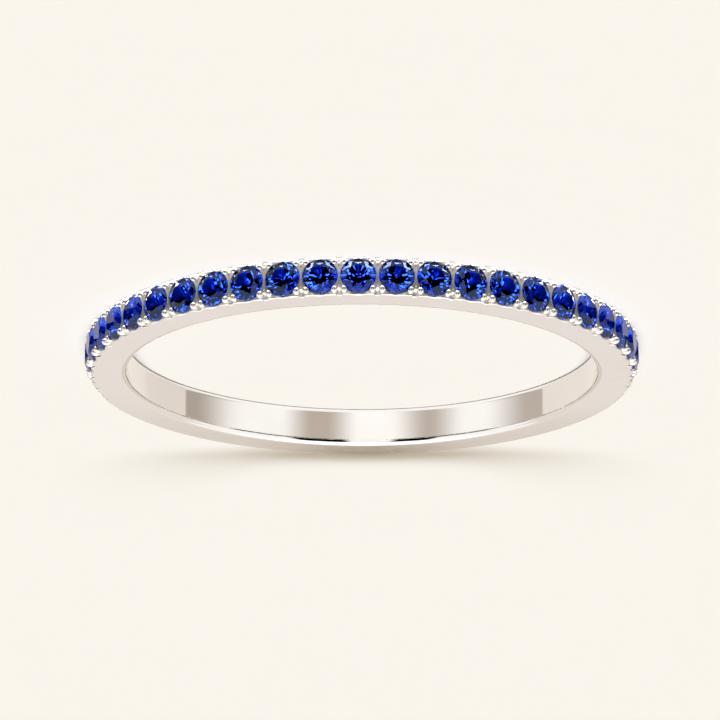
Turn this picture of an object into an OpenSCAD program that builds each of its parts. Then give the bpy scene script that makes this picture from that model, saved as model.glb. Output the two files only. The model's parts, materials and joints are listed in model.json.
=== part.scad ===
// Finger ring: a slim polished band with one row of round brilliant sapphires.
// The origin is the centre of the finger hole. Z is the axis of the hole, and the
// middle of the row points to -Y. All sizes are in millimetres.

/* [Band] */
// Inner diameter, where the finger goes
bore_d = 16.9; // [15.5:0.1:18.5]
// Width from one side face to the other
band_w = 1.39; // [1.37:0.01:1.7]
// Wall at the middle of the row
wall_top = 1.32; // [1.28:0.01:1.38]
// Wall opposite the row
wall_bottom = 1.28; // [1.1:0.02:1.34]
// Radius of the rounded inner edges, which make it comfortable to wear
inner_edge_r = 0.2; // [0.1:0.01:0.4]
// Radius of the broken outer edges
outer_edge_r = 0.05; // [0.02:0.01:0.08]

/* [Row] */
// Number of stones
stone_count = 27; // [9:2:31]
// Height of the girdles above the wall of the finger hole
girdle_rise = 1.34; // [1.28:0.01:1.4]
// Space between neighbouring girdles
stone_gap = 0.08; // [0.07:0.01:0.16]
// Space left between a stone and its seat
seat_gap = 0.02; // [0.01:0.005:0.025]
// How far the last stones of the row sink into the band
end_drop = 0.22; // [0:0.01:0.3]
// Angle over which the row sinks at each end
drop_span = 26; // [10:1:30]

/* [Stones] */
// Diameter of a stone at its girdle
stone_d = 1.26; // [1.2:0.01:1.27]
// Width of the table, as a share of the diameter
table_share = 0.57; // [0.5:0.01:0.62]
// Slope of the kite facets of the crown
crown_angle = 34; // [30:0.5:36]
// Slope of the main facets of the pavilion
pavilion_angle = 43; // [39:0.5:43]
// Height of the girdle, as a share of the diameter
girdle_share = 0.032; // [0.02:0.002:0.05]
// Reach of the star facets from the table towards the girdle
star_share = 0.5; // [0.4:0.05:0.6]
// Reach of the lower half facets from the girdle towards the culet
half_share = 0.77; // [0.7:0.01:0.85]

/* [Prongs] */
// Diameter of a prong and of its round tip
prong_d = 0.26; // [0.22:0.005:0.26]
// Height of the tips above the girdles
prong_rise = 0.16; // [0.15:0.005:0.22]
// Distance across the band between the two rows of prongs
prong_across = 1; // [0.94:0.01:1]
// Distance between the two prongs of a pair
prong_pair = 0.355; // [0.33:0.005:0.37]

/* [Bars] */
// Height of the bars between stones above the girdles
bar_rise = 0.065; // [0.03:0.005:0.08]
// Length of a bar across the band
bar_l = 1; // [0.9:0.05:1.1]
// Depth of the scallop in each side wall under a stone
scallop_depth = 0.07; // [0.03:0.01:0.1]
// Radius of the scallops
scallop_r = 0.45; // [0.35:0.05:0.6]
// Width of the slot past each end of a bar, which frees the two prongs there
slot_w = 0.2; // [0.14:0.01:0.24]
// Depth of the slots
slot_depth = 0.12; // [0.05:0.01:0.2]

/* [Hidden] */
facets = 8;
bore_r = bore_d / 2;
outer_r = bore_r + (wall_top + wall_bottom) / 2;
outer_shift = (wall_top - wall_bottom) / 2;
girdle_r = bore_r + girdle_rise;
pitch = (stone_d + stone_gap) / girdle_r * 180 / PI;
row_end = stone_count * pitch / 2;
stone_r = stone_d / 2;
half_girdle = stone_d * girdle_share / 2;
facet_step = 180 / facets;
table_r = stone_r * table_share;
table_h = crown_h(table_r);
star_r = (table_r * cos(facet_step) * (1 - star_share) + stone_r * star_share) / cos(facet_step);
star_h = crown_h(star_r * cos(facet_step));
half_r = stone_r * (1 - half_share);
half_h = pavilion_h(half_r * cos(facet_step));
culet_h = pavilion_h(0);
prong_r = prong_d / 2;
prong_root = 0.6;
bar_root = 0.9;
bar_w = 0.6;
slack = 1;
colour_metal = "gainsboro";
colour_stone = "royalblue";

function stone_name(i) = str("sapphire_", i < 10 ? "0" : "", i);

// Angle round the ring of stone i and of bar j, from the middle of the row
function stone_angle(i) = (i - (stone_count + 1) / 2) * pitch;
function bar_angle(j) = (j - stone_count / 2 - 1) * pitch;

// Distance of the girdles from the axis. The row is level until it nears its
// ends, where it sinks on a parabola.
function row_r(a) = girdle_r - end_drop * pow(max(0, (abs(a) - row_end + drop_span) / drop_span), 2);

// Distance of the band's outer surface from the axis. That surface is a circle
// moved towards the row, so the wall is thickest there.
function wall_r(a) = outer_shift * cos(a) + sqrt(pow(outer_r, 2) - pow(outer_shift * sin(a), 2));

// Height of the kites' and the mains' planes at distance x from the stone's axis,
// heights being measured from the middle of the girdle
function crown_h(x) = half_girdle + (stone_r - x) * tan(crown_angle);
function pavilion_h(x) = -half_girdle - (stone_r - x) * tan(pavilion_angle);

// Points of a regular polygon of n corners with radius r at height h
function corners(n, r, h, turn = 0) = [for (i = [0 : n - 1])
    [r * cos(turn + i * 360 / n), r * sin(turn + i * 360 / n), h]];

// Puts its children on the row: their Z points outwards, their Y along the axis
module on_row(a, r) {
    rotate([0, 0, a]) translate([0, -r, 0]) rotate([90, 0, 0]) children();
}

// A disk with its outer edges broken, as thick as the band
module outer_disk() {
    rotate_extrude($fn = 180) {
        translate([0, -band_w / 2 + outer_edge_r]) square([outer_r, band_w - 2 * outer_edge_r]);
        translate([0, -band_w / 2]) square([outer_r - outer_edge_r, band_w]);
        for (side = [-1, 1])
            translate([outer_r - outer_edge_r, side * (band_w / 2 - outer_edge_r)])
                circle(outer_edge_r, $fn = 32);
    }
}

// Everything outside the finger hole, with its two edges rounded
module outside_of_bore() {
    rotate_extrude($fn = 180) {
        translate([bore_r, -band_w / 2 + inner_edge_r])
            square([wall_top + slack, band_w - 2 * inner_edge_r]);
        translate([bore_r + inner_edge_r, -band_w / 2])
            square([wall_top + slack - inner_edge_r, band_w]);
        for (side = [-1, 1])
            translate([bore_r + inner_edge_r, side * (band_w / 2 - inner_edge_r)])
                circle(inner_edge_r, $fn = 64);
    }
}

// Cut across the band under a stone, which bares the stone's edge
module scallop() {
    translate([0, 0, scallop_r - scallop_depth]) rotate([90, 0, 0])
        cylinder(r = scallop_r, h = band_w + slack, center = true, $fn = 48);
}

// Slots at the two ends of a bar, open to the side faces
module slots() {
    for (side = [-1, 1]) translate([-slot_w / 2, side * (bar_l + slack) / 2 - slack / 2, -slot_depth])
        cube([slot_w, slack, slot_depth + slack]);
}

// Metal between two stones, which the seats trim to a waisted bar
module bar() {
    translate([-bar_w / 2, -bar_l / 2, -bar_root]) cube([bar_w, bar_l, bar_root + bar_rise]);
}

// Round post with a ball tip
module prong() {
    ball_h = prong_rise - prong_r;
    rotate_extrude($fn = 32) intersection() {
        union() {
            translate([0, -prong_root]) square([prong_r, prong_root + ball_h]);
            translate([0, ball_h]) circle(prong_r, $fn = 32);
        }
        translate([0, -prong_root]) square([prong_r + slack, prong_root + prong_rise + slack]);
    }
}

module prong_pair_row() {
    for (along = [-1, 1], across = [-1, 1])
        translate([along * prong_pair / 2, across * prong_across / 2, 0]) prong();
}

// Space for a stone: the outline of its corners, moved out by the seat gap
module seat() {
    seat_r = stone_r + seat_gap;
    low_slope = (-half_girdle - half_h) / (stone_r - half_r);
    high_slope = (star_h - half_girdle) / (stone_r - star_r);
    low = seat_gap * sqrt(1 + pow(low_slope, 2));
    high = seat_gap * sqrt(1 + pow(high_slope, 2));
    rotate_extrude($fn = 64) polygon([
        [0, culet_h - low],
        [half_r, half_h - low],
        [seat_r, -half_girdle + seat_gap * low_slope - low],
        [seat_r, half_girdle - seat_gap * high_slope + high],
        [star_r, star_h + high],
        [table_r, table_h + high],
        [0, table_h + high]
    ]);
}

// Shank, side walls, bars and prongs, cast in one piece
module band() {
    color(colour_metal) difference() {
        union() {
            difference() {
                intersection() {
                    translate([0, -outer_shift, 0]) outer_disk();
                    outside_of_bore();
                }
                for (i = [1 : stone_count]) on_row(stone_angle(i), wall_r(stone_angle(i))) scallop();
                for (j = [1 : stone_count + 1]) on_row(bar_angle(j), wall_r(bar_angle(j))) slots();
            }
            for (j = [1 : stone_count + 1]) on_row(bar_angle(j), row_r(bar_angle(j))) {
                bar();
                prong_pair_row();
            }
        }
        for (i = [1 : stone_count]) on_row(stone_angle(i), row_r(stone_angle(i))) seat();
    }
}

// Round brilliant: table, 8 stars, 8 kites and 16 halves above the girdle,
// 16 halves and 8 mains below it
module brilliant() {
    table = 0;
    star = facets;
    top = 2 * facets;
    bottom = 4 * facets;
    half = 6 * facets;
    culet = 7 * facets;
    rim = 2 * facets;
    polyhedron(
        points = concat(
            corners(facets, table_r, table_h),
            corners(facets, star_r, star_h, facet_step),
            corners(rim, stone_r, half_girdle),
            corners(rim, stone_r, -half_girdle),
            corners(facets, half_r, half_h, facet_step),
            [[0, 0, culet_h]]),
        faces = concat(
            [[for (k = [facets - 1 : -1 : 0]) table + k]],
            [for (k = [0 : facets - 1]) let (next = (k + 1) % facets) [table + k, table + next, star + k]],
            [for (k = [0 : facets - 1]) let (last = (k + facets - 1) % facets)
                [table + k, star + k, top + 2 * k, star + last]],
            [for (m = [0 : rim - 1]) let (next = (m + 1) % rim) [star + floor(m / 2), top + next, top + m]],
            [for (m = [0 : rim - 1]) let (next = (m + 1) % rim)
                [top + m, top + next, bottom + next, bottom + m]],
            [for (m = [0 : rim - 1]) let (next = (m + 1) % rim)
                [bottom + m, bottom + next, half + floor(m / 2)]],
            [for (k = [0 : facets - 1]) let (last = (k + facets - 1) % facets)
                [half + last, bottom + 2 * k, half + k, culet]]));
}

module sapphire(i) {
    color(colour_stone) on_row(stone_angle(i), row_r(stone_angle(i))) brilliant();
}

band();
for (i = [1 : stone_count]) sapphire(i);
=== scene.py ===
"""Looks of a slim white gold ring with one row of round sapphires, lying on a pale floor.

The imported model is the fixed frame. The sapphires are its own nodes with a finer material, and
the cast band is replaced by two finer meshes: the shank with its seats and bars, and the prongs.
Lengths are in millimetres until a mesh is made, and angles are in radians round the hole's axis,
from the middle of the row at -Y towards +X.
"""

import json
import logging
import math
from dataclasses import dataclass
from enum import Enum

import bmesh
import bpy
import numpy as np
from mathutils import Matrix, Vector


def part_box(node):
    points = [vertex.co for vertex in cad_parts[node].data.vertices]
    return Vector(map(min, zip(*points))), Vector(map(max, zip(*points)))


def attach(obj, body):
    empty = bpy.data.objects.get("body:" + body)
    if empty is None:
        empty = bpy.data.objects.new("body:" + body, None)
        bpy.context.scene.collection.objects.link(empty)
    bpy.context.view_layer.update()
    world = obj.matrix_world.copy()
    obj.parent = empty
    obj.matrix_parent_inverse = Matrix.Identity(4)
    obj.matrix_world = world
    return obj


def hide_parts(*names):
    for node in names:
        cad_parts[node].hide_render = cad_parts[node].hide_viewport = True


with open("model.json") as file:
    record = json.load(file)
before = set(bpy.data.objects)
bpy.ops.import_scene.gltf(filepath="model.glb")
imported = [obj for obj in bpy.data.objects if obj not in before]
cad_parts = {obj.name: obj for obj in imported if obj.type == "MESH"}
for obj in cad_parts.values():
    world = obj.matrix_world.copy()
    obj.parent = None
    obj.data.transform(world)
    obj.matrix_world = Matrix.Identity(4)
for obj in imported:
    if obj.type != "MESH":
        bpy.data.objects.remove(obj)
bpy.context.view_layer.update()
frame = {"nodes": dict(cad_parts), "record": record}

LOG = logging.getLogger("ring")
MM = 0.001
Array = np.ndarray


class Slot(Enum):
    """Material slots of the record."""

    METAL = "white_gold"
    STONE = "sapphire"


class Side(Enum):
    """The two edges of the band, by the sign of Z."""

    LOWER = -1
    UPPER = 1


def linear(hex_colour: str) -> tuple[float, float, float, float]:
    """Turns an sRGB hex colour into linear RGBA.

    A channel c becomes c/12.92 below 0.04045, and otherwise ((c + 0.055) / 1.055) to the power 2.4.

    Args:
        hex_colour: Six hex digits, such as "faf5ec".

    Returns:
        Red, green, blue and an alpha of 1.
    """
    srgb = np.array([int(hex_colour[i:i + 2], 16) for i in (0, 2, 4)]) / 255
    rgb = np.where(srgb <= 0.04045, srgb / 12.92, ((srgb + 0.055) / 1.055) ** 2.4)
    return (*rgb.tolist(), 1.0)


def add_node(
    tree: bpy.types.NodeTree,
    kind: str,
    settings: dict[str, object] | None = None,
    inputs: dict[str | int, object] | None = None,
) -> bpy.types.Node:
    """Adds a node with its settings, socket values and links.

    Args:
        tree: The node tree that gets the node.
        kind: Type of the node.
        settings: Properties of the node by name.
        inputs: Values by socket name or index. An output socket is linked.

    Returns:
        The new node.
    """
    node = tree.nodes.new(kind)
    for name, value in (settings or {}).items():
        setattr(node, name, value)
    for name, value in (inputs or {}).items():
        if isinstance(value, bpy.types.NodeSocket):
            tree.links.new(value, node.inputs[name])
        else:
            node.inputs[name].default_value = value
    return node


def new_material(name: str) -> bpy.types.Material:
    """Makes an empty node material."""
    material = bpy.data.materials.new(name)
    material.use_nodes = True
    material.node_tree.nodes.clear()
    return material


def smooth_step(x: Array) -> Array:
    """Rises from 0 to 1 as 3x squared less 2x cubed, and is level outside."""
    x = np.clip(x, 0, 1)
    return x * x * (3 - 2 * x)


def grid_quads(rows: int, columns: int, wrap: bool = False) -> Array:
    """Lists the quads of a grid whose points are numbered row by row.

    Args:
        rows: Number of rows of points.
        columns: Number of points in a row.
        wrap: Whether the last column meets the first.

    Returns:
        Point numbers, four to a quad.
    """
    row = np.arange(rows - 1)[:, None]
    column = np.arange(columns if wrap else columns - 1)[None, :]
    after = (column + 1) % columns
    corners = [row * columns + column, row * columns + after]
    corners += [(row + 1) * columns + after, (row + 1) * columns + column]
    return np.stack(np.broadcast_arrays(*corners), axis=-1).reshape(-1, 4)


def repeat_faces(faces: Array, points_each: int, copies: int) -> Array:
    """Repeats the faces of one patch for copies whose points follow each other."""
    return (faces[None] + points_each * np.arange(copies)[:, None, None]).reshape(-1, faces.shape[1])


@dataclass
class Shell:
    """A closed surface that is put together from patches of points and faces."""

    weld: float = 1.3e-5

    def __post_init__(self) -> None:
        """Starts with no patches."""
        self.points: list[Array] = []
        self.faces: list[Array] = []
        self.count = 0

    def add(self, points: Array, *faces: Array) -> None:
        """Adds a patch.

        Args:
            points: Places in millimetres, in any grid whose last axis is x, y, z.
            faces: Point numbers within the patch, three or four to a face.
        """
        flat = points.reshape(-1, 3)
        self.points.append(flat)
        self.faces += [face + self.count for face in faces]
        self.count += len(flat)

    def make(self, name: str, body: str, crease: float) -> bpy.types.Object:
        """Merges the seams, turns the faces outwards and makes the object.

        Points that round to the same cell of the weld grid become one.

        Args:
            name: Name of the piece.
            body: Body that the piece rides on.
            crease: Angle in degrees past which an edge stays sharp.

        Returns:
            The piece, with smooth faces.
        """
        points = np.concatenate(self.points)
        keys = np.round(points / self.weld).astype(np.int64)
        _, first, merged = np.unique(keys, axis=0, return_index=True, return_inverse=True)
        faces = [face for group in self.faces for face in merged.reshape(-1)[group].tolist()]
        mesh = bpy.data.meshes.new(name)
        mesh.from_pydata(points[first] * MM, [], faces)
        shell = bmesh.new()
        shell.from_mesh(mesh)
        bmesh.ops.recalc_face_normals(shell, faces=shell.faces)
        shell.to_mesh(mesh)
        shell.free()
        mesh.shade_smooth()
        mesh.set_sharp_from_angle(angle=math.radians(crease))
        piece = bpy.data.objects.new(name, mesh)
        bpy.context.scene.collection.objects.link(piece)
        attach(piece, body)
        return piece


@dataclass(frozen=True)
class Brilliant:
    """Round brilliant cut, in the stone's own frame: its axis points outwards from the girdle."""

    diameter: float = 1.26
    table_share: float = 0.57
    crown_angle: float = 34
    pavilion_angle: float = 43
    girdle_share: float = 0.032
    star_share: float = 0.5
    half_share: float = 0.77
    facets: int = 8
    seat_gap: float = 0.02

    @property
    def radius(self) -> float:
        """Radius of the girdle."""
        return self.diameter / 2

    @property
    def half_girdle(self) -> float:
        """Half the height of the girdle."""
        return self.diameter * self.girdle_share / 2

    def crown(self, reach: float) -> float:
        """Height of the kite facets' planes at a distance from the axis."""
        return self.half_girdle + (self.radius - reach) * math.tan(math.radians(self.crown_angle))

    def pavilion(self, reach: float) -> float:
        """Height of the lower main facets' planes at a distance from the axis."""
        return -self.half_girdle - (self.radius - reach) * math.tan(math.radians(self.pavilion_angle))

    def seat_outline(self) -> tuple[Array, Array]:
        """Works out the seat that is cut for the stone.

        The outline runs through the stone's corners and is moved out by the seat gap, measured
        square to each stretch.

        Returns:
            Heights from the culet upwards, and the seat's radius at each.
        """
        turn = math.cos(math.pi / self.facets)
        table = self.radius * self.table_share
        star = (table * turn * (1 - self.star_share) + self.radius * self.star_share) / turn
        half = self.radius * (1 - self.half_share)
        star_height, half_height = self.crown(star * turn), self.pavilion(half * turn)
        low_slope = (-self.half_girdle - half_height) / (self.radius - half)
        high_slope = (star_height - self.half_girdle) / (self.radius - star)
        low = self.seat_gap * math.hypot(1, low_slope)
        high = self.seat_gap * math.hypot(1, high_slope)
        rim = self.radius + self.seat_gap
        outline = [
            (self.pavilion(0) - low, 0),
            (half_height - low, half),
            (-self.half_girdle + self.seat_gap * low_slope - low, rim),
            (self.half_girdle - self.seat_gap * high_slope + high, rim),
            (star_height + high, star),
            (self.crown(table) + high, table),
        ]
        return tuple(np.array(outline).T)


@dataclass(frozen=True)
class Row:
    """Places of the stones and of the bars between them."""

    stones: int
    hole_radius: float
    cut: Brilliant
    girdle_rise: float = 1.34
    stone_gap: float = 0.08
    end_drop: float = 0.22
    drop_span: float = math.radians(26)

    @property
    def girdle_radius(self) -> float:
        """Distance of the girdles from the hole's axis."""
        return self.hole_radius + self.girdle_rise

    @property
    def pitch(self) -> float:
        """Angle from one stone to the next: diameter and gap over the girdles' distance."""
        return (self.cut.diameter + self.stone_gap) / self.girdle_radius

    @property
    def end(self) -> float:
        """Angle of the last bar."""
        return self.stones * self.pitch / 2

    def stone_angles(self) -> Array:
        """Angles of the stones, evenly spaced about the middle."""
        return (np.arange(self.stones) - (self.stones - 1) / 2) * self.pitch

    def bar_angles(self) -> Array:
        """Angles of the bars, half a pitch before and after each stone."""
        return (np.arange(self.stones + 1) - self.stones / 2) * self.pitch

    def radius(self, angle: Array) -> Array:
        """Distance of the girdles from the axis at an angle.

        The row is level, and sinks towards each end by the square of the share of the drop's span.
        """
        share = np.maximum(0, (np.abs(angle) - self.end + self.drop_span) / self.drop_span)
        return self.girdle_radius - self.end_drop * share**2

    def place(self, local: Array, angle: Array, radius: Array) -> Array:
        """Puts points of a local frame on the row.

        Local x runs round the ring, y along the hole's axis and z outwards. The place is radius
        plus z along the outward direction, x along the tangent and y along the axis.

        Args:
            local: Points, last axis x, y, z.
            angle: Angle of each frame, broadcast over the points.
            radius: Distance of each frame's origin from the axis.

        Returns:
            Places in the ring's frame.
        """
        x, y, z = local[..., 0], local[..., 1], local[..., 2] + radius
        sine, cosine = np.sin(angle), np.cos(angle)
        return np.stack([cosine * x + sine * z, sine * x - cosine * z, y], axis=-1)


@dataclass(frozen=True)
class Wall:
    """The band's outer surface: a circle moved towards the row, dipped beside each stone."""

    row: Row
    top: float = 1.32
    bottom: float = 1.28
    scallop_depth: float = 0.07
    scallop_radius: float = 0.45
    bar_rise: float = 0.065
    bar_half: float = 0.5
    bar_blend: float = 0.03
    groove_depth: float = 0.022
    groove_half: float = 0.032
    groove_end: float = 0.36
    slot_half: float = 0.1
    slot_depth: float = 0.12
    slot_blend: float = 0.03

    def radius(self, angle: Array) -> Array:
        """Distance of the bare wall from the axis.

        It is the shift times the cosine, plus the root of the circle's radius squared less the
        square of the shift times the sine.
        """
        radius = self.row.hole_radius + (self.top + self.bottom) / 2
        shift = (self.top - self.bottom) / 2
        return shift * np.cos(angle) + np.sqrt(radius**2 - (shift * np.sin(angle)) ** 2)

    def land(self, angle: Array, across: Array) -> Array:
        """Distance of the finished surface from the axis, with scallops, bars and grooves.

        Beside a stone the wall is cut by a cylinder that lies across the band. Between stones it
        rises to the bar, which has a shallow round groove along its middle, and past each end of
        the bar a slot frees the two prongs.

        Args:
            angle: Angle round the ring.
            across: Distance from the middle of the band.

        Returns:
            Distances from the axis.
        """
        row = self.row
        wall = self.radius(angle)
        inside = np.abs(angle) < row.end
        stone = np.round(angle / row.pitch) * row.pitch
        along = row.girdle_radius * (angle - stone)
        chord = np.sqrt(np.maximum(0, self.scallop_radius**2 - along**2))
        cut = self.radius(stone) + self.scallop_radius - self.scallop_depth - chord
        wall = np.where(inside & (np.abs(along) < self.scallop_radius), np.minimum(wall, cut), wall)
        bar = (np.floor(angle / row.pitch + 0.5 * (row.stones % 2 == 0)) + 0.5) * row.pitch
        off = row.girdle_radius * (angle - bar)
        groove = self.groove_depth * np.maximum(0, 1 - (off / self.groove_half) ** 2)
        groove = groove * smooth_step((self.groove_end - np.abs(across)) / self.bar_blend + 1)
        top = row.radius(bar) + self.bar_rise - groove
        share = smooth_step((self.bar_half - np.abs(across)) / (2 * self.bar_blend) + 0.5)
        slot = self.slot_depth * smooth_step((self.slot_half - np.abs(off)) / self.slot_blend + 0.5)
        near = np.abs(angle) < row.end + row.pitch / 4
        return wall + np.where(near, np.maximum(top - wall, 0) * share - slot * (1 - share), 0)


@dataclass(frozen=True)
class Shank:
    """Cast band without its prongs: hole, side faces, wall, seats and bars."""

    row: Row
    wall: Wall
    width: float
    inner_edge: float = 0.2
    outer_edge: float = 0.05
    along_steps: int = 20
    across_steps: int = 36
    land_steps: int = 8
    plain_steps: int = 150
    outer_edge_steps: int = 7
    inner_edge_steps: int = 17
    support: float = 0.015
    lip_space: float = 0.004
    lip_rounds: int = 8

    @property
    def flat_half(self) -> float:
        """Half the width of the outer surface between its broken edges."""
        return self.width / 2 - self.outer_edge

    def along_shares(self) -> Array:
        """Steps from one bar to the next, which crowd towards the bars by the sine."""
        return np.sin(np.linspace(-math.pi / 2, math.pi / 2, self.along_steps + 1))

    def border(self) -> Array:
        """Goes once round the edge of a stone's cell.

        Returns:
            Points as shares of half the pitch and half the width, counter-clockwise.
        """
        along = self.along_shares()[:-1]
        across = np.linspace(-1, 1, self.across_steps + 1)[:-1]
        sides = [
            np.stack([along, np.full_like(along, -1)], axis=1),
            np.stack([np.full_like(across, 1), across], axis=1),
            np.stack([-along, np.full_like(along, 1)], axis=1),
            np.stack([np.full_like(across, -1), -across], axis=1),
        ]
        return np.concatenate(sides)

    def cells(self) -> tuple[Array, Array, Array]:
        """Builds the outer surface of all the cells, one round each stone.

        On each ray from the stone's axis the surface climbs the seat from its culet to the lip,
        where the seat's outline meets the land, and then follows the land to the cell's edge.
        The lip is found by going from land height to seat radius and back until it settles.

        Returns:
            Points, quads and the triangles at the culets.
        """
        row, border = self.row, self.border()
        stone = row.stone_angles()[:, None]
        base = row.radius(stone)
        edge_angle = border[None, :, 0] * row.pitch / 2
        edge_across = border[None, :, 1] * self.flat_half
        ray = np.arctan2(edge_across, row.girdle_radius * np.sin(edge_angle))
        heights, radii = row.cut.seat_outline()
        reach = np.full(np.broadcast_shapes(stone.shape, ray.shape), radii.max())
        for _ in range(self.lip_rounds):
            x, y = reach * np.cos(ray), reach * np.sin(ray)
            turn = np.arctan2(x, base)
            lip = np.sqrt(self.wall.land(stone + turn, y) ** 2 - x**2) - base
            reach = np.interp(lip, heights, radii)
        levels = [np.minimum(heights[corner], lip - (4 - corner) * self.lip_space) for corner in (1, 2, 3)]
        seat_height = np.stack(levels, axis=-1)
        seat_reach = np.interp(seat_height, heights, radii)
        turned = ray[..., None]
        local = [seat_reach * np.cos(turned), seat_reach * np.sin(turned), seat_height]
        seat = row.place(np.stack(local, axis=-1), stone[..., None], base[..., None])
        share = np.linspace(0, 1, self.land_steps + 1)
        turn = np.arctan2(reach * np.cos(ray), base + lip)
        angle = stone[..., None] + turn[..., None] + (edge_angle - turn)[..., None] * share
        across = y[..., None] + (edge_across - y)[..., None] * share
        radius = self.wall.land(angle, across)
        land = np.stack([radius * np.sin(angle), -radius * np.cos(angle), across], axis=-1)
        count = border.shape[0]
        rings = np.concatenate([seat, land], axis=2).transpose(0, 2, 1, 3)
        culet = np.zeros((row.stones, 1, 3))
        culet[..., 2] = heights[0]
        tips = row.place(culet, stone, base)
        points = np.concatenate([rings.reshape(row.stones, -1, 3), tips], axis=1)
        each = points.shape[1]
        quads = grid_quads(rings.shape[1], count, wrap=True)
        fan = np.arange(count)
        tip_faces = np.stack([fan, (fan + 1) % count, np.full(count, each - 1)], axis=1)
        return points, repeat_faces(quads, each, row.stones), repeat_faces(tip_faces, each, row.stones)

    def plain(self) -> Array:
        """Outer surface past the ends of the row, from the last bar round to the first."""
        angle = np.linspace(self.row.end, 2 * math.pi - self.row.end, self.plain_steps + 1)[:, None]
        across = np.linspace(-1, 1, self.across_steps + 1)[None, :] * self.flat_half
        angle, across = np.broadcast_arrays(angle, across)
        signed = (angle + math.pi) % (2 * math.pi) - math.pi
        radius = self.wall.land(signed, across)
        return np.stack([radius * np.sin(angle), -radius * np.cos(angle), across], axis=-1)

    def side_profile(self, side: Side) -> tuple[Array, Array, Array]:
        """Follows the section from the outer surface to the middle of the hole's wall.

        The broken outer edge and the comfortable inner edge are quarter circles. Points close to
        the ends of each straight stretch keep its shading flat.

        Args:
            side: Which edge of the band.

        Returns:
            Share of the way from the outer edge's end to the inner edge's start, which is 0 on the
            outer edge and 1 past the face, the offset from there, and the place along the axis.
        """
        sign = side.value
        outer = np.linspace(0, math.pi / 2, self.outer_edge_steps)
        inner = np.linspace(0, math.pi / 2, self.inner_edge_steps)
        face = np.array([self.support, 0.5, 1 - self.support])
        half = self.width / 2
        share = np.concatenate([np.zeros_like(outer), face, np.ones_like(inner), [1, 1]])
        offset = np.concatenate([
            self.outer_edge * np.cos(outer) - self.outer_edge,
            np.zeros_like(face),
            self.inner_edge * (1 - np.sin(inner)),
            [0, 0],
        ])
        across = np.concatenate([
            self.flat_half + self.outer_edge * np.sin(outer),
            np.full_like(face, half),
            half - self.inner_edge * (1 - np.cos(inner)),
            [half - self.inner_edge - self.support, 0],
        ])
        return share, offset, sign * across

    def rim(self) -> Array:
        """Carries the side profile round the ring on both sides, down to the middle of the hole."""
        row = self.row
        step = self.along_shares()[None, :-1] * row.pitch / 2
        signed = np.concatenate([
            (row.stone_angles()[:, None] + step).ravel(),
            np.linspace(row.end, 2 * math.pi - row.end, self.plain_steps + 1)[:-1],
        ])
        angle = (signed + math.pi) % (2 * math.pi) - math.pi
        angle[0] = -row.end
        lips = self.wall.land(angle, np.full_like(angle, self.flat_half))
        profile = []
        for side in Side:
            share, offset, across = self.side_profile(side)
            outer = lips[:, None]
            inner = row.hole_radius
            straight = outer - self.outer_edge + (inner + self.inner_edge - outer + self.outer_edge) * share
            radius = np.where(share < 1, straight, inner) + offset
            radius[:, :self.outer_edge_steps] = outer + offset[:self.outer_edge_steps]
            profile.append(np.stack(np.broadcast_arrays(radius, across[None]), axis=-1))
        loop = np.concatenate([profile[0], profile[1][:, -2::-1]], axis=1)
        sine, cosine = np.sin(signed)[:, None], np.cos(signed)[:, None]
        return np.stack([loop[..., 0] * sine, -loop[..., 0] * cosine, loop[..., 1]], axis=-1)

    def make(self) -> bpy.types.Object:
        """Joins cells, plain wall and rim into one closed piece."""
        shell = Shell()
        points, quads, triangles = self.cells()
        shell.add(points, quads, triangles)
        plain = self.plain()
        shell.add(plain, grid_quads(*plain.shape[:2]))
        rim = self.rim().transpose(1, 0, 2)
        shell.add(rim, grid_quads(*rim.shape[:2], wrap=True))
        piece = shell.make("shank", "root", crease=40)
        self.mark_tumbled(piece.data)
        return piece

    def mark_tumbled(self, mesh: bpy.types.Mesh) -> None:
        """Marks the points between the stones, which a polishing mop doesn't reach."""
        places = np.empty(3 * len(mesh.vertices))
        mesh.vertices.foreach_get("co", places)
        x, y, z = places.reshape(-1, 3).T / MM
        in_row = np.abs(np.arctan2(x, -y)) < self.row.end + self.row.pitch / 4
        outside = np.hypot(x, y) > self.row.hole_radius + self.inner_edge
        marks = in_row & outside & (np.abs(z) < self.flat_half + self.support)
        mesh.attributes.new("tumbled", "FLOAT", "POINT").data.foreach_set("value", marks.astype(float))


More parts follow.
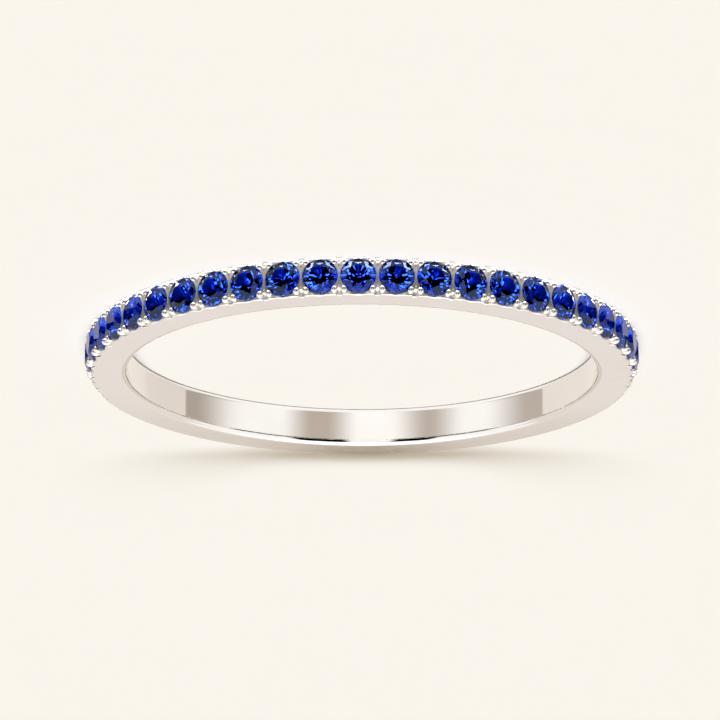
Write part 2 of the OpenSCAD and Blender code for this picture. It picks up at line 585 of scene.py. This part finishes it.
@dataclass(frozen=True)
class Prongs:
    """Round posts with ball tips, in fours between the stones, notched where they hold them."""

    row: Row
    wall: Wall
    diameter: float = 0.26
    rise: float = 0.16
    across: float = 1.0
    pair: float = 0.355
    root: float = 0.25
    fillet: float = 0.012
    fillet_fade: float = 0.03
    turns: int = 24
    ball_steps: int = 9
    post_steps: int = 8
    bite: float = 0.001

    def profile(self) -> tuple[Array, Array]:
        """Radius and height of the post and of its ball tip, from the root upwards."""
        radius = self.diameter / 2
        centre = self.rise - radius
        post = np.linspace(-self.root, centre, self.post_steps, endpoint=False)
        ball = np.linspace(0, math.pi / 2, self.ball_steps, endpoint=False)
        radii = np.concatenate([np.full_like(post, radius), radius * np.cos(ball)])
        return radii, np.concatenate([post, centre + radius * np.sin(ball)])

    def make(self) -> bpy.types.Object:
        """Turns the profile round each post's axis and cuts the notches for the stones.

        A small fillet widens the post by an exponential that fades above the wall. A point that
        lies nearer to a stone's axis than the seat's outline is moved out to the outline.
        """
        row, radius = self.row, self.diameter / 2
        bars = row.bar_angles()
        radii, heights = self.profile()
        side = np.array([(x, y) for x in (-1, 1) for y in (-1, 1)])
        bar = bars[:, None, None, None]
        base = row.radius(bar)
        sunk = self.wall.radius(bar) - base
        fillet = self.fillet * np.exp(-np.maximum(0, heights[:, None] - sunk) / self.fillet_fade)
        wide = radii[:, None] + np.where(heights[:, None] < self.rise - radius, fillet, 0)
        turn = np.arange(self.turns) * 2 * math.pi / self.turns
        x = side[None, :, 0, None, None] * self.pair / 2 + wide * np.cos(turn)
        y = side[None, :, 1, None, None] * self.across / 2 + wide * np.sin(turn)
        z = np.broadcast_to(heights[:, None], x.shape)
        local = np.stack([x, y, z], axis=-1)
        ends = np.zeros((len(bars), 4, 2, 3))
        ends[..., 0] = side[None, :, 0, None] * self.pair / 2
        ends[..., 1] = side[None, :, 1, None] * self.across / 2
        ends[..., 2] = [-self.root, self.rise]
        local = np.concatenate([local.reshape(len(bars), 4, -1, 3), ends], axis=2)
        flat_bar = bars[:, None, None]
        places = row.place(local, flat_bar, row.radius(flat_bar))
        stone = flat_bar + side[None, :, 0, None] * row.pitch / 2
        held = np.abs(stone) < row.end
        sine, cosine = np.sin(stone), np.cos(stone)
        along = places[..., 0] * cosine + places[..., 1] * sine
        up = places[..., 0] * sine - places[..., 1] * cosine - row.radius(stone)
        off = np.hypot(along, places[..., 2])
        outline = np.interp(up, *row.cut.seat_outline()) + self.bite
        grow = np.where(held & (off < outline), outline / np.maximum(off, radius), 1)
        notched = np.stack([along * grow, places[..., 2] * grow, up], axis=-1)
        points = row.place(notched, stone, row.radius(stone))
        shell = Shell()
        each, rings = points.shape[2], len(radii)
        quads = grid_quads(rings, self.turns, wrap=True)
        fan = np.arange(self.turns)
        low = np.stack([(fan + 1) % self.turns, fan, np.full_like(fan, each - 2)], axis=1)
        high = np.stack([fan, (fan + 1) % self.turns, np.full_like(fan, 0)], axis=1)
        high[:, :2] += (rings - 1) * self.turns
        high[:, 2] = each - 1
        copies = len(bars) * 4
        shell.add(points, *[repeat_faces(face, each, copies) for face in (quads, low, high)])
        return shell.make("prongs", "root", crease=50)


@dataclass(frozen=True)
class PolishedWhiteGold:
    """White gold, cast, polished and rhodium plated.

    The plating gives a cool, nearly white mirror. The polishing mop leaves it faintly uneven, so
    that reflections have a soft edge and their brightness wanders a little.
    """

    colour: str = "f1eeea"
    worn_colour: str = "e9e4dc"
    roughness: tuple[float, float] = (0.015, 0.04)
    tumbled_roughness: float = 0.36
    wander_mm: float = 1.6
    swirl_mm: float = 0.35
    swirl_height: float = 0.0005
    swirl_strength: float = 0.2

    def build(self) -> bpy.types.Material:
        """Makes the material on Object coordinates."""
        material = new_material("white_gold_polished")
        tree = material.node_tree
        place = add_node(tree, "ShaderNodeTexCoord").outputs["Object"]
        wander = add_node(tree, "ShaderNodeTexNoise", None, {
            "Vector": place, "Scale": 1 / (self.wander_mm * MM), "Detail": 3.0})
        tone = add_node(tree, "ShaderNodeMix", {"data_type": "RGBA"}, {
            0: wander.outputs["Fac"], 6: linear(self.colour), 7: linear(self.worn_colour)})
        swirl = add_node(tree, "ShaderNodeTexNoise", None, {
            "Vector": place, "Scale": 1 / (self.swirl_mm * MM), "Detail": 2.0})
        gloss = add_node(tree, "ShaderNodeMapRange", None, {
            "Value": swirl.outputs["Fac"], "To Min": self.roughness[0], "To Max": self.roughness[1]})
        tumbled = add_node(tree, "ShaderNodeAttribute", {"attribute_name": "tumbled"})
        finish = add_node(tree, "ShaderNodeMix", {"data_type": "FLOAT"}, {
            0: tumbled.outputs["Fac"], 2: gloss.outputs["Result"], 3: self.tumbled_roughness})
        bump = add_node(tree, "ShaderNodeBump", None, {
            "Height": swirl.outputs["Fac"], "Strength": self.swirl_strength,
            "Distance": self.swirl_height * MM})
        shader = add_node(tree, "ShaderNodeBsdfPrincipled", None, {
            "Base Color": tone.outputs[2], "Metallic": 1.0, "Roughness": finish.outputs[0],
            "Normal": bump.outputs["Normal"]})
        add_node(tree, "ShaderNodeOutputMaterial", None, {"Surface": shader.outputs["BSDF"]})
        return material


@dataclass(frozen=True)
class CutSapphire:
    """Blue sapphire, cut and polished.

    It is clear with a high index, so it mirrors light back from its pavilion. Faint zones of a
    deeper blue run through it, as growth leaves them.
    """

    colour: str = "3f80f8"
    zone_colour: str = "3472ee"
    index: float = 1.77
    shine: float = 0.28
    shine_colour: str = "a8c4ff"
    zone_mm: float = 0.9
    absorption_colour: str = "1f52dc"
    absorption_per_mm: float = 0.9

    def build(self) -> bpy.types.Material:
        """Makes the material on Object coordinates."""
        material = new_material("sapphire_cut")
        tree = material.node_tree
        place = add_node(tree, "ShaderNodeTexCoord").outputs["Object"]
        zone = add_node(tree, "ShaderNodeTexNoise", None, {
            "Vector": place, "Scale": 1 / (self.zone_mm * MM), "Detail": 1.0})
        tone = add_node(tree, "ShaderNodeMix", {"data_type": "RGBA"}, {
            0: zone.outputs["Fac"], 6: linear(self.colour), 7: linear(self.zone_colour)})
        shader = add_node(tree, "ShaderNodeBsdfPrincipled", None, {
            "Base Color": tone.outputs[2], "Roughness": 0.0, "IOR": self.index,
            "Specular IOR Level": self.shine, "Specular Tint": linear(self.shine_colour),
            "Transmission Weight": 1.0})
        inside = add_node(tree, "ShaderNodeVolumeAbsorption", None, {
            "Color": linear(self.absorption_colour), "Density": self.absorption_per_mm / MM})
        add_node(tree, "ShaderNodeOutputMaterial", None, {
            "Surface": shader.outputs["BSDF"], "Volume": inside.outputs["Volume"]})
        return material


@dataclass(frozen=True)
class Card:
    """A soft-edged card round the ring, lit or black, by its direction from the ring.

    Bearings are in degrees from the camera's side towards -X, and heights are above the floor.
    """

    bearing: float
    height: float
    half_width: float
    half_height: float
    colour: str
    power: float = 1.0
    soft: float = 6.0
    soft_up: float = 6.0


@dataclass(frozen=True)
class Shade:
    """A sheet of gel bent like the lower part of a hoop, behind the ring, which tints the floor.

    It is widest at its lowest place, keeps one width along its sides and ends in two tips.
    """

    radius: float
    reach: float
    behind: float
    sweep: float
    half_depth: float
    side_half_depth: float
    middle_share: float
    lift: float
    tip_half_depth: float = 0.01
    steps: int = 121

    def edges(self, floor_height: float) -> list[Array]:
        """Works out the two edges.

        The half depth is the sides' times one less the share of the reach to the eighth power,
        plus the middle's surplus times the square of the cosine of the share of the middle, plus
        that of the tips. The middle line sweeps by the share squared.

        Args:
            floor_height: Height of the floor, in millimetres.

        Returns:
            Two rows of points in millimetres.
        """
        share = np.linspace(-1, 1, self.steps)
        angle = math.radians(self.reach) * share
        up = floor_height + self.lift + self.radius * (1 - np.cos(angle))
        swell = np.cos(np.minimum(1, np.abs(share) / self.middle_share) * math.pi / 2) ** 2
        surplus = (self.half_depth - self.side_half_depth) * swell
        half = self.side_half_depth * (1 - share**8) + surplus + self.tip_half_depth
        middle = self.behind + self.sweep * share**2
        left = self.radius * np.sin(angle)
        return [np.stack([left, depth, up], axis=1) for depth in (middle - half, middle + half)]


@dataclass(frozen=True)
class Blind:
    """A strip bent round the row, black or lit, which is mirrored, seen through the stones or both.

    Each of its two edges has a distance from the hole's axis and a height over its middle.
    """

    name: str
    first: tuple[float, float]
    last: tuple[float, float]
    glow: float
    mirrored: bool
    through_stones: bool


@dataclass(frozen=True)
class Studio:
    """Pale floor, soft light, the cards that the polished metal mirrors, and the camera."""

    floor_height: float
    camera_rise: float = math.radians(17.28)
    camera_turn: float = math.radians(-0.75)
    camera_roll: float = 0.0012
    distance: float = 305.1
    focal_length: float = 423.7
    centre_px: tuple[float, float] = (361.88, 358.6)
    image_px: float = 720
    floor_radius: float = 4000
    floor_corners: int = 96
    floor_colour: str = "faf5ec"
    glow_share: float = 0.15
    lamp_power: float = 3.41
    lamp_height: float = 52
    lamp_spread: float = 36
    gel: str = "b7aa97"
    shades: tuple[Shade, ...] = (
        Shade(9.0, 80, 12.85, -2.0, 1.3, 0.6, 0.46, 1.5),
        Shade(24, 6.0, 13.25, 0.0, 0.65, 0.1, 1.0, 0.7),
    )
    blinds: tuple[Blind, ...] = (
        Blind("flag", (11.6, -0.9), (11.6, -0.08), 0.0, True, True),
        Blind("blind_low", (12.6, -3.2), (12.6, -1.3), 0.0, False, True),
        Blind("spark_low", (12.6, -1.3), (12.6, -1.12), 10.0, False, True),
        Blind("blind_high", (12.6, -1.12), (12.6, 1.0), 0.0, False, True),
        Blind("spark_high", (12.6, 1.0), (12.6, 1.25), 10.0, False, True),
        Blind("blind_top", (12.6, 1.25), (12.6, 3.2), 0.0, False, True),
        Blind("under", (9.7, -1.6), (10.0, -1.6), 0.3, True, False),
        Blind("kite_light", (10.02, -1.6), (10.34, -1.6), 11.0, True, False),
    )
    mirrored_reach: float = math.radians(99)
    blind_reach: float = math.radians(112)
    blind_steps: int = 161
    velvet: str = "050505"
    surround: str = "ffffff"
    surround_power: float = 1.13
    cards: tuple[Card, ...] = (
        # Grey bands and pale ends, which the hole's wall mirrors at its left and right.
        Card(95, -17, 18, 26, "b9afa6", 1.0, 32, 8),
        Card(-96, -17, 20, 26, "c8beb6", 1.0, 30, 8),
        Card(120, -17, 21, 24, "efe8e2", 1.0, 2, 8),
        Card(158, -17, 22, 24, "f9f2ec", 1.0, 8, 8),
        Card(-137, -17, 36, 24, "f9f2ec", 1.0, 2, 8),
        # A pale card behind the ring, with a grey and a small dark one, for the side face.
        Card(180, 25, 86, 20, "f4edea", 1.0, 6, 4),
        Card(180, 10, 60, 6.85, "e2d9d0", 1.0, 20, 0.3),
        Card(180.7, 10, 0.5, 6.72, "a69884", 1.0, 0.9, 0.1),
        # A white card between two grey ones, in the middle of the hole's wall.
        Card(-5.5, -17, 15.5, 22, "fffefe", 1.17, 14, 8),
        Card(22, -17, 12, 26, "c9beb4", 1.0, 18, 8),
        Card(-33, -17, 10, 26, "cac0b9", 1.0, 20, 8),
        # Bright silk overhead, all round.
        Card(0, 74, 181, 12, "ffffff", 2.5, 1, 10),
        # Black cards on the camera's side, which deepen the stones and mark the prongs' tips.
        Card(50, -2, 17, 10, "040404", 1.0, 12, 5),
        Card(-50, -2, 17, 10, "040404", 1.0, 12, 5),
        Card(22, 17, 14, 29, "040404", 1.0, 6, 6),
        Card(-26, 17, 11, 29, "040404", 1.0, 6, 6),
    )

    def make_floor(self) -> bpy.types.Object:
        """Lays a wide round floor just under the ring.

        The floor is a disk of one face, faintly lit from below as a light table is, which softens
        its shadows. The metal and the stones don't mirror it: they see the cards below instead.
        """
        turn = np.linspace(0, 2 * math.pi, self.floor_corners, endpoint=False)
        rim = np.stack([np.cos(turn), np.sin(turn), np.zeros_like(turn)], axis=1) * self.floor_radius
        rim[:, 2] = self.floor_height
        mesh = bpy.data.meshes.new("floor")
        mesh.from_pydata(rim * MM, [], [list(range(len(turn)))])
        floor = bpy.data.objects.new("floor", mesh)
        bpy.context.scene.collection.objects.link(floor)
        material = new_material("painted_board")
        tree = material.node_tree
        board = add_node(tree, "ShaderNodeBsdfDiffuse", None, {"Color": linear(self.floor_colour)})
        glow = add_node(tree, "ShaderNodeEmission", None, {
            "Color": linear(self.floor_colour), "Strength": self.glow_share})
        both = add_node(tree, "ShaderNodeAddShader", None, {0: board.outputs[0], 1: glow.outputs[0]})
        add_node(tree, "ShaderNodeOutputMaterial", None, {"Surface": both.outputs[0]})
        mesh.materials.append(material)
        floor.visible_glossy = False
        floor.visible_transmission = False
        return floor

    def make_lamp(self) -> bpy.types.Object:
        """Hangs the wide soft light on the camera's side, which lights the floor and isn't mirrored."""
        light = bpy.data.lights.new("key", "SUN")
        light.energy = self.lamp_power
        light.angle = math.radians(self.lamp_spread)
        lamp = bpy.data.objects.new("key", light)
        lamp.rotation_euler = (math.radians(90 - self.lamp_height), 0, 0)
        lamp.visible_glossy = False
        lamp.visible_transmission = False
        bpy.context.scene.collection.objects.link(lamp)
        return lamp

    def make_sheet(
        self, name: str, edges: list[Array], cloth: str, values: dict[str, object]
    ) -> bpy.types.Object:
        """Makes a strip between two rows of points, which the camera doesn't see.

        Args:
            name: Name of the sheet.
            edges: The two rows of points, in millimetres.
            cloth: Type of the sheet's shader node.
            values: Its socket values by name.

        Returns:
            The sheet.
        """
        mesh = bpy.data.meshes.new(name)
        mesh.from_pydata(np.concatenate(edges) * MM, [], grid_quads(2, len(edges[0])).tolist())
        sheet = bpy.data.objects.new(name, mesh)
        bpy.context.scene.collection.objects.link(sheet)
        material = new_material(name)
        shader = add_node(material.node_tree, cloth, None, values)
        add_node(material.node_tree, "ShaderNodeOutputMaterial", None, {"Surface": shader.outputs[0]})
        mesh.materials.append(material)
        sheet.visible_camera = sheet.visible_diffuse = False
        return sheet

    def make_shades(self) -> None:
        """Stands the sheets of amber gel behind the ring, which only tint the lamp's light."""
        for number, shade in enumerate(self.shades, 1):
            sheet = self.make_sheet(f"amber_gel_{number}", shade.edges(self.floor_height),
                                    "ShaderNodeBsdfTransparent", {"Color": linear(self.gel)})
            sheet.visible_glossy = sheet.visible_transmission = False

    def make_blinds(self) -> None:
        """Bends the blinds round the row.

        Those before the row lie where the tables of the stones look, so the stones are deep with a
        few bright sparks, and the flag among them leaves the dark mark in the middle of each round
        tip. The two under the row are mirrored by the facets on the lower side of each stone: the
        dim one by its rim, the lit one by its kites.
        """
        for blind in self.blinds:
            reach = self.mirrored_reach if blind.mirrored else self.blind_reach
            angle = np.linspace(-reach, reach, self.blind_steps)
            around = np.stack([np.sin(angle), -np.cos(angle), np.zeros_like(angle)], axis=1)
            edges = [radius * around + [0, 0, height] for radius, height in (blind.first, blind.last)]
            if blind.glow:
                lit = {"Strength": blind.glow}
                sheet = self.make_sheet("lit_silk_" + blind.name, edges, "ShaderNodeEmission", lit)
            else:
                black = {"Color": linear(self.velvet)}
                sheet = self.make_sheet("black_velvet_" + blind.name, edges, "ShaderNodeBsdfDiffuse", black)
            sheet.visible_glossy = blind.mirrored
            sheet.visible_transmission = blind.through_stones
            sheet.visible_shadow = False

    def make_world(self) -> bpy.types.World:
        """Surrounds the ring with the cards, painted one over another by direction.

        The bearing is the angle of minus x over minus y, and the height the arcsine of z. A card's
        mask falls smoothly from 1 to 0 across its soft edge.
        """
        world = bpy.data.worlds.new("studio")
        world.use_nodes = True
        tree = world.node_tree
        tree.nodes.clear()
        ray = add_node(tree, "ShaderNodeTexCoord").outputs["Generated"]
        parts = add_node(tree, "ShaderNodeSeparateXYZ", None, {0: ray}).outputs
        left = add_node(tree, "ShaderNodeMath", {"operation": "MULTIPLY"}, {0: parts[0], 1: -1.0})
        front = add_node(tree, "ShaderNodeMath", {"operation": "MULTIPLY"}, {0: parts[1], 1: -1.0})
        bearing = add_node(tree, "ShaderNodeMath", {"operation": "ARCTAN2"}, {
            0: left.outputs[0], 1: front.outputs[0]})
        height = add_node(tree, "ShaderNodeMath", {"operation": "ARCSINE"}, {0: parts[2]})
        colour = [channel * self.surround_power for channel in linear(self.surround)]
        for card in self.cards:
            colour = self.paint(tree, bearing.outputs[0], height.outputs[0], colour, card)
        glow = add_node(tree, "ShaderNodeBackground", None, {"Color": colour, "Strength": 1.0})
        add_node(tree, "ShaderNodeOutputWorld", None, {"Surface": glow.outputs[0]})
        world.cycles_visibility.diffuse = False
        bpy.context.scene.world = world
        return world

    def paint(
        self,
        tree: bpy.types.NodeTree,
        bearing: bpy.types.NodeSocket,
        height: bpy.types.NodeSocket,
        under: object,
        card: Card,
    ) -> bpy.types.NodeSocket:
        """Paints one card over the colour under it.

        Args:
            tree: The world's nodes.
            bearing: Bearing of the ray, in radians.
            height: Height of the ray, in radians.
            under: Colour or socket that the card covers.
            card: The card.

        Returns:
            The colour with the card in it.
        """
        masks = []
        spans = [
            (bearing, card.bearing, card.half_width, card.soft, True),
            (height, card.height, card.half_height, card.soft_up, False),
        ]
        for angle, middle, half, soft, around in spans:
            off = add_node(tree, "ShaderNodeMath", {"operation": "SUBTRACT"}, {
                0: angle, 1: math.radians(middle)})
            if around:
                off = add_node(tree, "ShaderNodeMath", {"operation": "WRAP"}, {
                    0: off.outputs[0], 1: math.pi, 2: -math.pi})
            far = add_node(tree, "ShaderNodeMath", {"operation": "ABSOLUTE"}, {0: off.outputs[0]})
            mask = add_node(tree, "ShaderNodeMapRange", {"interpolation_type": "SMOOTHSTEP"}, {
                "Value": far.outputs[0],
                "From Min": math.radians(half - soft / 2), "From Max": math.radians(half + soft / 2),
                "To Min": 1.0, "To Max": 0.0})
            masks.append(mask.outputs["Result"])
        both = add_node(tree, "ShaderNodeMath", {"operation": "MULTIPLY"}, {0: masks[0], 1: masks[1]})
        lit = [channel * card.power for channel in linear(card.colour)[:3]] + [1.0]
        mix = add_node(tree, "ShaderNodeMix", {"data_type": "RGBA"}, {
            0: both.outputs[0], 6: under, 7: lit})
        return mix.outputs[2]

    def make_camera(self) -> bpy.types.Object:
        """Sets the camera at the photo's angle, above the floor and turned so that the row is on top.

        The camera looks at the centre of the hole from its bearing and rise, rolled by half a turn.
        A small shift puts that centre on its pixel.
        """
        data = bpy.data.cameras.new("camera")
        data.lens = self.focal_length
        data.clip_start, data.clip_end = 0.01, 50
        data.shift_x = (self.image_px / 2 - self.centre_px[0]) / self.image_px
        data.shift_y = (self.centre_px[1] - self.image_px / 2) / self.image_px
        camera = bpy.data.objects.new("camera", data)
        place = Matrix.Rotation(self.camera_turn, 4, "Z") @ Matrix.Rotation(
            math.pi / 2 - self.camera_rise, 4, "X") @ Matrix.Rotation(math.pi + self.camera_roll, 4, "Z")
        camera.matrix_world = place @ Matrix.Translation((0, 0, self.distance * MM))
        bpy.context.scene.collection.objects.link(camera)
        bpy.context.scene.camera = camera
        return camera


def dress(piece: bpy.types.Object, material: bpy.types.Material) -> None:
    """Gives a piece its material, in its first slot."""
    if piece.material_slots:
        piece.material_slots[0].material = material
    else:
        piece.data.materials.append(material)


def main() -> None:
    """Builds the ring's pieces, the floor, the light and the camera."""
    logging.basicConfig(level=logging.INFO, format="%(name)s: %(message)s")
    low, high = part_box("band")
    stones = sorted(name for name in frame["nodes"] if name.startswith("sapphire"))
    mounts = {mount["name"]: mount for mount in frame["record"]["mounts"]}
    row = Row(len(stones), mounts["finger_hole"]["dims"]["r_mm"], Brilliant())
    wall = Wall(row)
    gold, sapphire = PolishedWhiteGold().build(), CutSapphire().build()
    shank = Shank(row, wall, (high.z - low.z) / MM).make()
    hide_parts("band")
    prongs = Prongs(row, wall).make()
    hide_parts("band")
    for piece in (shank, prongs):
        dress(piece, gold)
        piece.visible_diffuse = False
        LOG.info("%s has %d faces", piece.name, len(piece.data.polygons))
    # Prongs and stones cast no shadow, so the shank alone shades the floor, softly as in the photo.
    prongs.visible_shadow = False
    for name in stones:
        dress(frame["nodes"][name], sapphire)
        frame["nodes"][name].visible_shadow = False
    LOG.info("%d sapphires dressed", len(stones))
    studio = Studio(low.z / MM)
    studio.make_floor()
    studio.make_lamp()
    studio.make_shades()
    studio.make_blinds()
    studio.make_world()
    studio.make_camera()
    bpy.context.scene.view_settings.view_transform = "Standard"


if __name__ == "__main__":
    main()
